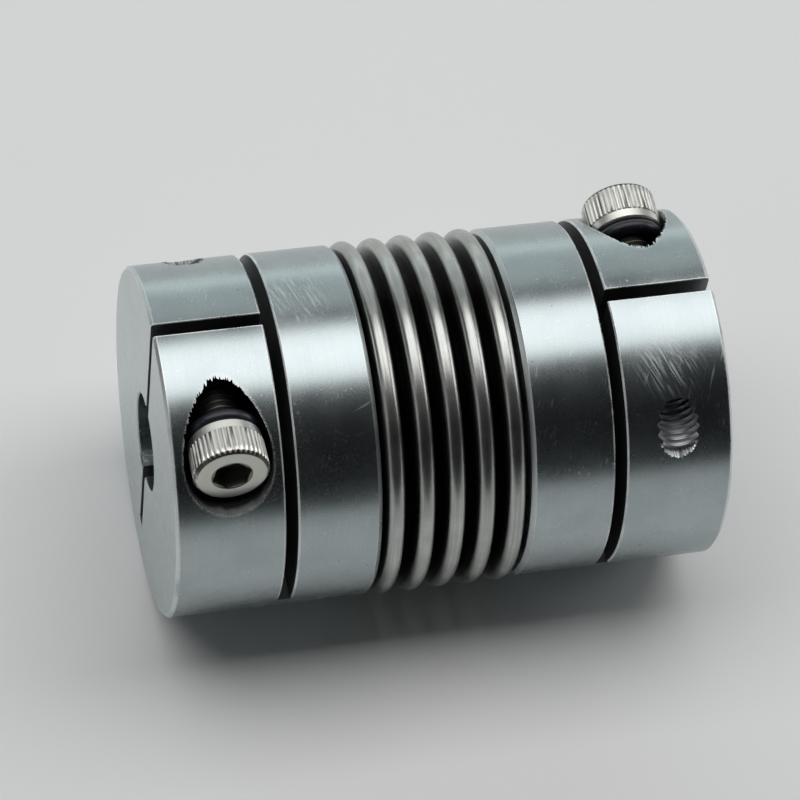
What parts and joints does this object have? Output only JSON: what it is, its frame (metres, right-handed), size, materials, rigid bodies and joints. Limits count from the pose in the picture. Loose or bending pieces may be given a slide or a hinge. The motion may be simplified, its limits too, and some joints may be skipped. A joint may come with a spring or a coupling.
{
  "type": "clamp-hub bellows coupling",
  "caption": "Flexible shaft coupling: two slotted clamp hubs, each with a loosened cap screw and ring, joined by a thin corrugated metal bellows.",
  "frame": {"origin": "on the common shaft axis, halfway along the coupling", "axes": "+X along the shaft axis from the left hub to the right hub; +Z out of the clamp slits, midway between the two; left screw head towards -Y, right screw head towards +Y"},
  "size_m": [0.0396, 0.0252, 0.0252],
  "materials": {
    "hub_aluminium": "satin, fine turning marks",
    "bellows_steel": "bright drawn stainless steel",
    "screw_steel": "bright, knurled head",
    "ring_rubber": "smooth black",
    "bond_adhesive": "cured epoxy"
  },
  "bodies": {
    "left_hub": {"left_hub": "hub_aluminium", "left_bond_ring": "bond_adhesive"},
    "left_ring": {"left_screw_ring": "ring_rubber"},
    "left_screw": {"left_clamp_screw": "screw_steel"},
    "bellows": {"bellows": "bellows_steel"},
    "right_hub": {"right_hub": "hub_aluminium", "right_bond_ring": "bond_adhesive"},
    "right_ring": {"right_screw_ring": "ring_rubber"},
    "right_screw": {"right_clamp_screw": "screw_steel"}
  },
  "joints": [
    {"name": "left_screw_advance", "type": "slide", "parent": "left_hub", "child": "left_ring", "axis": [0, -0.9988, 0.0488], "range_m": [-0.0039, 0.003]},
    {"name": "left_screw_turn", "type": "hinge", "parent": "left_ring", "child": "left_screw", "pos_m": [-0.01582, 0.00042, 0.00864], "axis": [0, -0.9988, 0.0488], "range_deg": [-2808, 2160]},
    {"name": "bend_about_y", "type": "hinge", "parent": "left_hub", "child": "bellows", "pos_m": [0, 0, 0], "axis": [0, 1, 0], "range_deg": [-1.5, 1.5], "stiffness_Nm_per_rad": 2.7, "deforming": ["bellows"]},
    {"name": "bend_about_z", "type": "hinge", "parent": "bellows", "child": "right_hub", "pos_m": [0, 0, 0], "axis": [0, 0, 1], "range_deg": [-1.5, 1.5], "stiffness_Nm_per_rad": 2.7, "deforming": ["bellows"]},
    {"name": "right_screw_advance", "type": "slide", "parent": "right_hub", "child": "right_ring", "axis": [0, 0.9988, 0.0488], "range_m": [-0.0039, 0.003]},
    {"name": "right_screw_turn", "type": "hinge", "parent": "right_ring", "child": "right_screw", "pos_m": [0.01582, -0.00042, 0.00864], "axis": [0, 0.9988, 0.0488], "range_deg": [-2808, 2160]}
  ],
  "couplings": [
    {"joint": "left_screw_turn", "follows": "left_screw_advance", "rad_per_m": 12566},
    {"joint": "right_screw_turn", "follows": "right_screw_advance", "rad_per_m": 12566}
  ]
}
